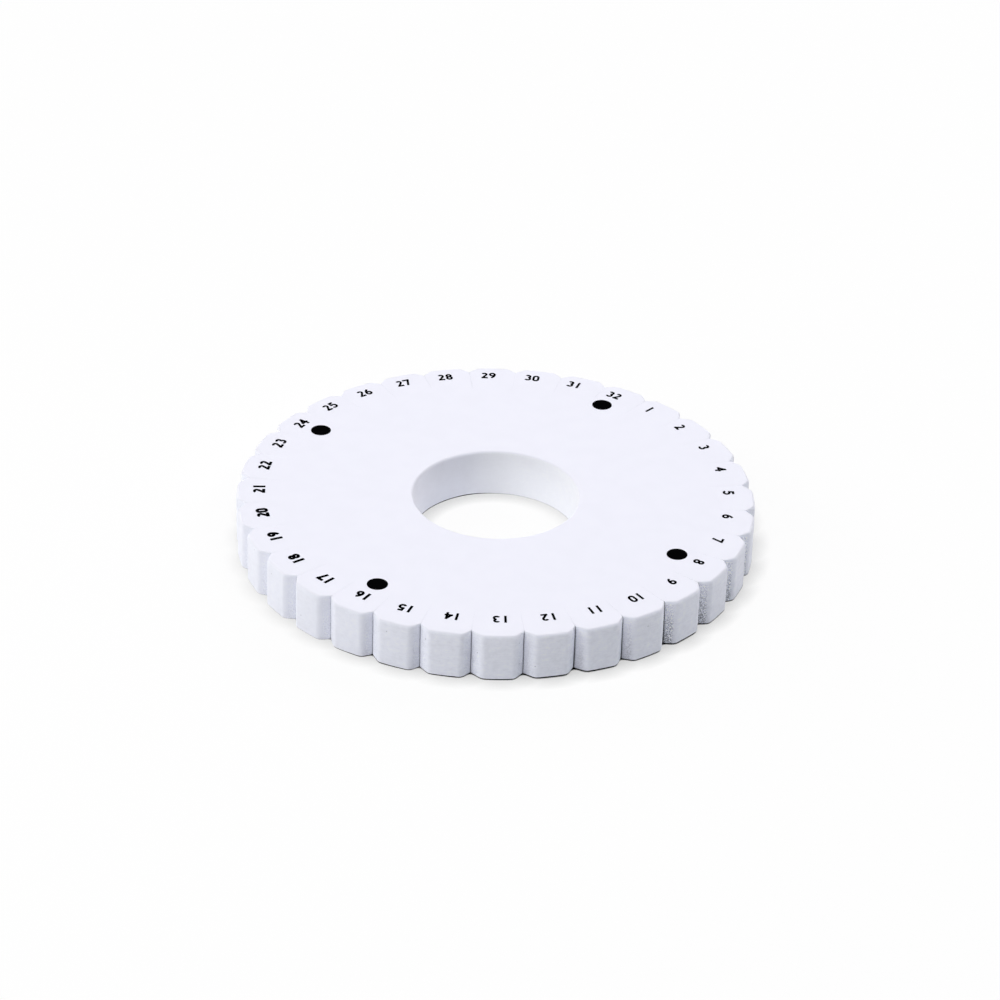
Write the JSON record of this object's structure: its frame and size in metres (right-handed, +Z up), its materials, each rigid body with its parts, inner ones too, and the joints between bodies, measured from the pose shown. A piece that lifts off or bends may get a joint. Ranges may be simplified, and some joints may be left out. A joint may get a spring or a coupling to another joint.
{
  "type": "kumihimo disk",
  "caption": "Round foam braiding disk with a central hole, a rim of flared thread slots, and printed tab numbers and quarter dots.",
  "frame": {"origin": "centre of the braid hole on the underside", "axes": "+Z up out of the printed face, +Y towards the last number, numbers clockwise from above"},
  "size_m": [0.108, 0.108, 0.0104],
  "materials": {
    "foam": "matte closed-cell foam",
    "ink": "matt printing ink"
  },
  "bodies": {
    "root": {"foam_disk": "foam", "number_01": "ink", "number_02": "ink", "number_03": "ink", "number_04": "ink", "number_05": "ink", "number_06": "ink", "number_07": "ink", "number_08": "ink", "number_09": "ink", "number_10": "ink", "number_11": "ink", "number_12": "ink", "number_13": "ink", "number_14": "ink", "number_15": "ink", "number_16": "ink", "number_17": "ink", "number_18": "ink", "number_19": "ink", "number_20": "ink", "number_21": "ink", "number_22": "ink", "number_23": "ink", "number_24": "ink", "number_25": "ink", "number_26": "ink", "number_27": "ink", "number_28": "ink", "number_29": "ink", "number_30": "ink", "number_31": "ink", "number_32": "ink", "dot_08": "ink", "dot_16": "ink", "dot_24": "ink", "dot_32": "ink"}
  },
  "joints": []
}
